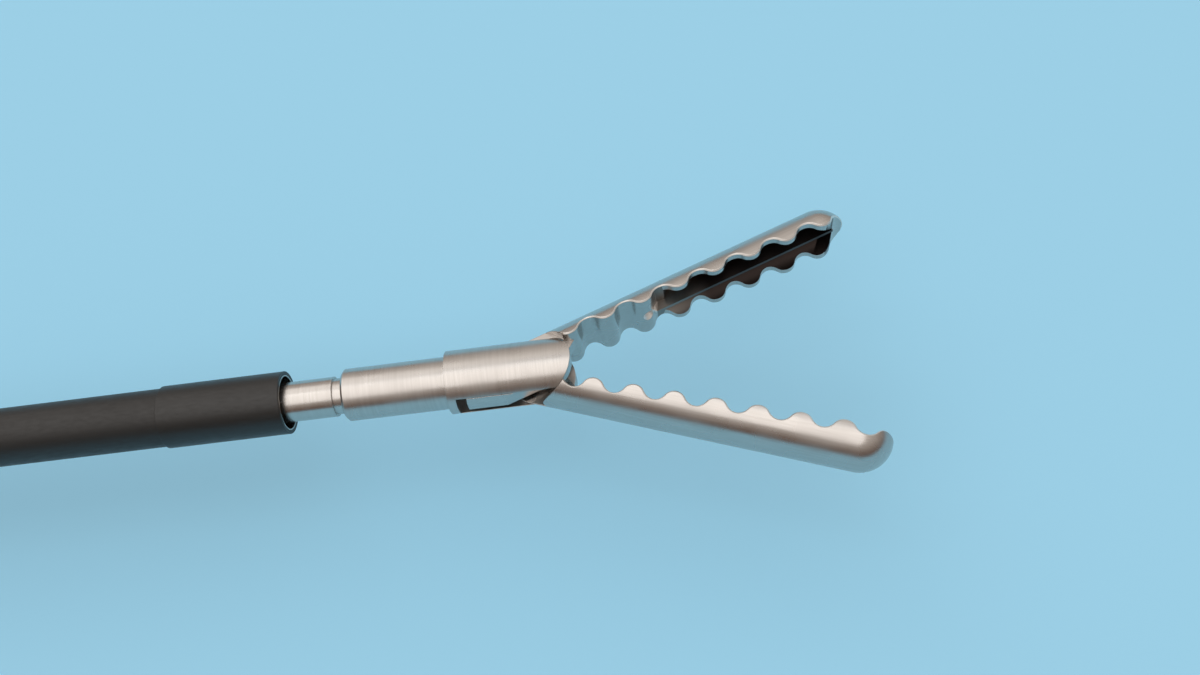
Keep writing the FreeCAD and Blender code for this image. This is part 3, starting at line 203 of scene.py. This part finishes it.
finishes = {
    "upper_jaw": upperJawSteel, "lower_jaw": lowerJawSteel, "jaw_housing": housingSteel,
    "inner_tube": turnedSteel, "jaw_pivot_pin": turnedSteel, "drive_pin": turnedSteel,
    "drive_rod": drawnSteel, "rod_end_ball": turnedSteel, "tube_liner": turnedSteel,
    "spindle_hub": turnedSteel, "retaining_ring": springSteel, "seal_ring": sealRed,
    "tube_insulation": tubeBlack, "distal_sleeve": sleeveBlack, "rotation_knob": knobBlack,
    "nose_bush": bushBeige, "housing_left": handleBlack, "housing_right": handleBlack,
    "screw_front": turnedSteel, "screw_top": turnedSteel, "screw_rear": turnedSteel,
    "screw_ring": turnedSteel, "thumb_lever": handleBlack, "lever_pin": turnedSteel,
    "ratchet_rack": drawnSteel, "ratchet_pawl": triggerGrey, "pawl_pin": turnedSteel,
    "pawl_spring": springSteel, "button_spring": springSteel, "hf_pin": turnedSteel,
    "contact_leaf": springSteel, "flush_port": portWhite, "cap_strap": capBlue,
    "flush_cap": capBlue, "cap_pin": turnedSteel, "release_button": triggerGrey,
}
for name, finish in finishes.items():
    mesh = nodes[name].data
    mesh.materials.clear()
    mesh.materials.append(finish)
print("finishes on", len(finishes), "nodes")

# Inside of the jaws' troughs: the same steel, dull from spark erosion, with painted shade that
# darkens it deeper into the trough. The round countersink and the bevels on the wavy rims are
# bright with a painted highlight. Places are from the jaw pivot, mm.
trough = {
    "start": 11.0,
    "end": 26.56,
    "radius": 1.89,             # just inside the groove's wall
    "paintedShadeFade": (11.6, 15.5),       # the painted shade deepens between these
    # painted shade colour deep in the trough, and the lighter steel where the trough begins
    "dark": "#453D3B",
    "light": "#8D8883",
    "roughness": 0.4,
    "dimplePlace": 10.1,
    "dimpleRadius": 0.78,
    "jawRadius": 2.5,
    "noseCentre": 25.15,
    "bevelWidth": 0.14,
    "bevelStart": 3.0,
    "bevelTilt": 0.92,          # a bevel's face looks less outwards than this
}


# Dull eroded steel with painted shade: the colour goes from lighter steel to dark along the jaw,
# deeper into the trough
def erodedSteelPaintedShade(name, turn):
    material, tree, surface = newMaterial(name, trough["dark"], 1.0, trough["roughness"])
    place = addNode(tree, "ShaderNodeTexCoord").outputs["Object"]
    pivot = (-pivotX * mm, 0, 0)
    moved = addNode(tree, "ShaderNodeMapping", {"Vector": place}, Location=pivot).outputs["Vector"]
    back = (0, 0, math.radians(-turn))
    turned = addNode(tree, "ShaderNodeMapping", {"Vector": moved}, Rotation=back).outputs["Vector"]
    along = addNode(tree, "ShaderNodeSeparateXYZ", {"Vector": turned}).outputs["X"]
    start, end = (s * mm for s in trough["paintedShadeFade"])
    paintedShadeFade = addNode(tree, "ShaderNodeMapRange", {"Value": along}, From_Min=start, From_Max=end)
    tint(tree, surface, paintedShadeFade.outputs["Result"], trough["light"], trough["dark"])
    return material


def finishTrough(node, turn):
    mesh = nodes[node].data
    # slots for the painted shade in the trough, the painted highlight on the countersink and the
    # painted highlight on the rim bevels
    erodedShadedSlot, countersinkHighlightSlot, bevelHighlightSlot = 1, 2, 3         # slots after the jaw's own finish
    for finish in (erodedSteelPaintedShade("sparkErodedSteelPaintedShade" + node, turn), countersinkHighlightSteel, bevelHighlightSteel):
        mesh.materials.append(finish)
    back = Matrix.Rotation(math.radians(-turn), 3, "Z")
    shift = Vector((pivotX, 0, 0))
    corners = [back @ (nodes[node].matrix_world @ v.co / mm - shift) for v in mesh.vertices]
    for face in mesh.polygons:
        spots = [corners[i] for i in face.vertices]
        middle = sum(spots, Vector()) / len(spots)
        outward = middle - Vector((min(middle.x, trough["noseCentre"]), 0, 0))
        tilt = (back @ face.normal).dot(outward.normalized())
        outside = outward.length > trough["jawRadius"] - trough["bevelWidth"]
        # painted highlight on the rim bevels
        if middle.x > trough["bevelStart"] and outside and tilt < trough["bevelTilt"]:
            face.material_index = bevelHighlightSlot
        # painted shade inside the trough
        within = trough["start"] < middle.x < trough["end"]
        if within and math.hypot(middle.y, middle.z) < trough["radius"]:
            face.material_index = erodedShadedSlot
        # painted highlight on the countersink
        reach = max(math.hypot(s.x - trough["dimplePlace"], s.z) for s in spots)
        if reach < trough["dimpleRadius"]:
            face.material_index = countersinkHighlightSlot


finishTrough("upper_jaw", jawTurn)
finishTrough("lower_jaw", -jawTurn)
print("troughs finished")

# Room: a pale table top, a soft sky, and two wide lights far enough off to light it evenly
room = {
    "tableColour": "#A0DAF8",
    "tableRoughness": 0.9,
    "backdrop": "#99D0EA",      # the table's colour as it comes out under this light
    "tableSize": 12.0,
    "skyTilt": 14.0,            # degrees that the sky's bright end leans back from the camera
    "sky": {0.0: "#7D675A", 0.3: "#D8C3B0", 0.95: "#FFF8F0"},
    "skyStrength": 0.9,
}
lamps = {
    # name: direction it comes from, width in degrees, strength
    "key": ((-0.25, -0.24, 0.93), 58.0, 0.66),
    "rear": ((-0.55, 0.45, 0.70), 50.0, 0.35),
}


def buildRoom():
    low = cadBox[0].z
    half = room["tableSize"] / 2
    mesh = bpy.data.meshes.new("tableTop")
    corners = [(-half, -half, low), (half, -half, low), (half, half, low), (-half, half, low)]
    mesh.from_pydata(corners, [], [(0, 1, 2, 3)])
    table = bpy.data.objects.new("tableTop", mesh)
    bpy.context.scene.collection.objects.link(table)
    colour, roughness = room["tableColour"], room["tableRoughness"]
    material, tree, surface = newMaterial("paleTable", colour, 0.0, roughness)
    surface.inputs["Specular IOR Level"].default_value = 0.0        # no shine on the table top
    mesh.materials.append(material)
    world = bpy.data.worlds.new("studio")
    bpy.context.scene.world = world
    world.use_nodes = True
    tree = world.node_tree
    tree.nodes.clear()
    place = addNode(tree, "ShaderNodeTexCoord").outputs["Generated"]
    lean = (math.radians(room["skyTilt"]), 0, 0)
    leaning = addNode(tree, "ShaderNodeMapping", {"Vector": place}, Rotation=lean).outputs["Vector"]
    height = addNode(tree, "ShaderNodeSeparateXYZ", {"Vector": leaning}).outputs["Z"]
    ramp = addNode(tree, "ShaderNodeValToRGB", {"Fac": height})
    stops = ramp.color_ramp.elements
    for stop, (position, colour) in zip((stops[0], stops.new(0.5), stops[1]), room["sky"].items()):
        stop.position = position
        stop.color = toLinear(colour)
    strength = room["skyStrength"]
    sky = addNode(tree, "ShaderNodeBackground", {"Color": ramp.outputs["Color"]}, Strength=strength)
    backdrop = addNode(tree, "ShaderNodeBackground", Color=toLinear(room["backdrop"]))
    rays = addNode(tree, "ShaderNodeLightPath")
    both = addNode(tree, "ShaderNodeMixShader", {"Fac": rays.outputs["Is Camera Ray"]})
    tree.links.new(sky.outputs["Background"], both.inputs[1])
    tree.links.new(backdrop.outputs["Background"], both.inputs[2])
    addNode(tree, "ShaderNodeOutputWorld", {"Surface": both.outputs["Shader"]})
    for name, (side, width, strength) in lamps.items():
        light = bpy.data.lights.new(name, "SUN")
        light.angle = math.radians(width)
        light.energy = strength
        lamp = bpy.data.objects.new(name, light)
        lamp.rotation_euler = Vector(side).to_track_quat("Z", "Y").to_euler()
        bpy.context.scene.collection.objects.link(lamp)


buildRoom()
print("room built")

# Camera: worked out from the photograph, with the jaw pivot as its reference
view = {
    "place": (10.203, -43.721, 82.138),         # from the pivot, mm
    "look": (-0.05326, 0.48883, -0.87075),
    "up": (0.12232, 0.86862, 0.48015),
    "focalPixels": 1190.37,
    "frameWidth": 1200,
    "sensor": 36.0,
}


def placeCamera():
    data = bpy.data.cameras.new("photoView")
    data.sensor_width = view["sensor"]
    data.lens = view["focalPixels"] / view["frameWidth"] * view["sensor"]
    data.clip_start = 0.005
    data.clip_end = 10
    camera = bpy.data.objects.new("photoView", data)
    back = -Vector(view["look"]).normalized()
    up = Vector(view["up"])
    up = (up - back * up.dot(back)).normalized()
    right = up.cross(back)
    turn = Matrix((right, up, back)).transposed()
    place = (Vector(view["place"]) + Vector((pivotX, 0, 0))) * mm
    camera.matrix_world = Matrix.Translation(place) @ turn.to_4x4()
    bpy.context.scene.collection.objects.link(camera)
    bpy.context.scene.camera = camera


placeCamera()
bpy.context.scene.view_settings.view_transform = "Standard"
print("camera placed")
